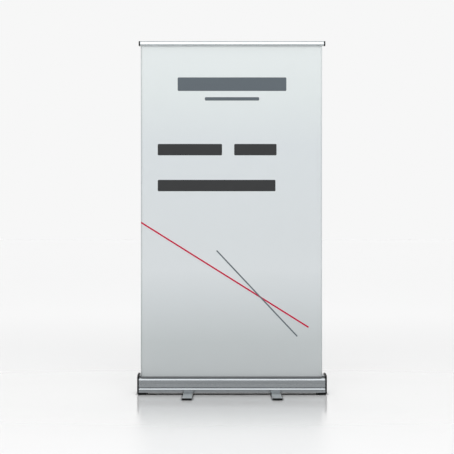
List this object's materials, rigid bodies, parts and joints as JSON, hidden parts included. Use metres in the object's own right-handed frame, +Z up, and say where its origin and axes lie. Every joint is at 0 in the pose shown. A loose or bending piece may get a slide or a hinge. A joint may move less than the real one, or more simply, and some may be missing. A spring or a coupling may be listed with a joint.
{
  "type": "roll-up banner stand",
  "caption": "Free-standing roll-up banner: a printed sheet drawn from a floor cassette with swivel feet and held by a telescopic mast and snap rail.",
  "frame": {"origin": "on the floor, midway between the two foot pivots", "axes": "+Z up, the printed side faces -Y, +X to the right of someone who looks at the print"},
  "size_m": [1.04, 0.42, 1.9437],
  "materials": {
    "aluminium": "satin anodised extrusion with fine drawing lines",
    "mast_tube": "drawn tube, bright satin",
    "black_plastic": "moulded, fine texture",
    "felt": "dense dark grey felt pile",
    "rubber": "matt",
    "steel": "zinc plated",
    "leader_film": "clear frosted film",
    "printed_graphic": null
  },
  "bodies": {
    "cassette": {"cassette_base_profile": "aluminium", "cassette_front_cover": "aluminium", "slot_wiper_strip": "felt", "left_end_cap": "black_plastic", "right_end_cap": "black_plastic", "end_cap_screws": "steel", "spring_shaft": "steel", "torsion_spring": "steel", "idle_axle": "steel", "foot_pivot_bolts": "steel", "foot_pivot_nuts": "steel", "foot_friction_washers": "steel", "mast_socket": "black_plastic", "socket_screws": "steel", "mast_foot_plug": "black_plastic", "mast_lower_tube": "mast_tube", "lower_clamp_sleeve": "black_plastic", "graphic_panel": "printed_graphic"},
    "left_foot": {"left_foot_bar": "aluminium", "left_foot_front_tip": "black_plastic", "left_foot_rear_tip": "black_plastic", "left_foot_pads": "rubber"},
    "right_foot": {"right_foot_bar": "aluminium", "right_foot_front_tip": "black_plastic", "right_foot_rear_tip": "black_plastic", "right_foot_pads": "rubber"},
    "roller": {"roller_tube": "steel", "roller_spring_plug": "black_plastic", "roller_idle_plug": "black_plastic", "leader_strip": "leader_film", "graphic_coil": "printed_graphic"},
    "lower_collar": {"lower_clamp_collar": "black_plastic"},
    "mast_middle": {"mast_middle_tube": "mast_tube", "mast_middle_bush": "black_plastic", "upper_clamp_sleeve": "black_plastic"},
    "upper_collar": {"upper_clamp_collar": "black_plastic"},
    "mast_upper": {"mast_upper_tube": "mast_tube", "mast_upper_bush": "black_plastic", "mast_head": "black_plastic", "head_pin": "steel"},
    "top_rail": {"rail_rear_profile": "aluminium", "left_rail_cap": "black_plastic", "right_rail_cap": "black_plastic"},
    "rail_jaw": {"rail_front_jaw": "aluminium"}
  },
  "joints": [
    {"name": "left_foot_swivel", "type": "hinge", "parent": "cassette", "child": "left_foot", "pos_m": [-0.241, 0, 0.01], "axis": [0, 0, 1], "range_deg": [-90, 90]},
    {"name": "right_foot_swivel", "type": "hinge", "parent": "cassette", "child": "right_foot", "pos_m": [0.241, 0, 0.01], "axis": [0, 0, 1], "range_deg": [-90, 90]},
    {"name": "mast_middle_slide", "type": "slide", "parent": "cassette", "child": "mast_middle", "axis": [0, 0, 1], "range_m": [-0.56, 0], "deforming": ["graphic_panel"]},
    {"name": "mast_upper_slide", "type": "slide", "parent": "mast_middle", "child": "mast_upper", "axis": [0, 0, 1], "range_m": [-0.56, 0]},
    {"name": "roller_spin", "type": "hinge", "parent": "cassette", "child": "roller", "pos_m": [0, -0.004, 0.058], "axis": [1, 0, 0], "range_deg": [0, 3600]},
    {"name": "lower_collar_twist", "type": "hinge", "parent": "cassette", "child": "lower_collar", "pos_m": [0, 0.032, 0.69], "axis": [0, 0, 1], "range_deg": [0, 90]},
    {"name": "upper_collar_twist", "type": "hinge", "parent": "mast_middle", "child": "upper_collar", "pos_m": [0, 0.032, 1.305], "axis": [0, 0, 1], "range_deg": [0, 90]},
    {"name": "rail_lift_off", "type": "slide", "parent": "mast_upper", "child": "top_rail", "axis": [0, 0, 1], "range_m": [0, 0.012]},
    {"name": "rail_jaw_open", "type": "hinge", "parent": "top_rail", "child": "rail_jaw", "pos_m": [0, -0.0265, 1.939], "axis": [-1, 0, 0], "range_deg": [0, 50]}
  ],
  "couplings": [
    {"joint": "mast_upper_slide", "follows": "mast_middle_slide", "ratio": 1},
    {"joint": "roller_spin", "follows": "mast_middle_slide", "rad_per_m": -111.11}
  ]
}
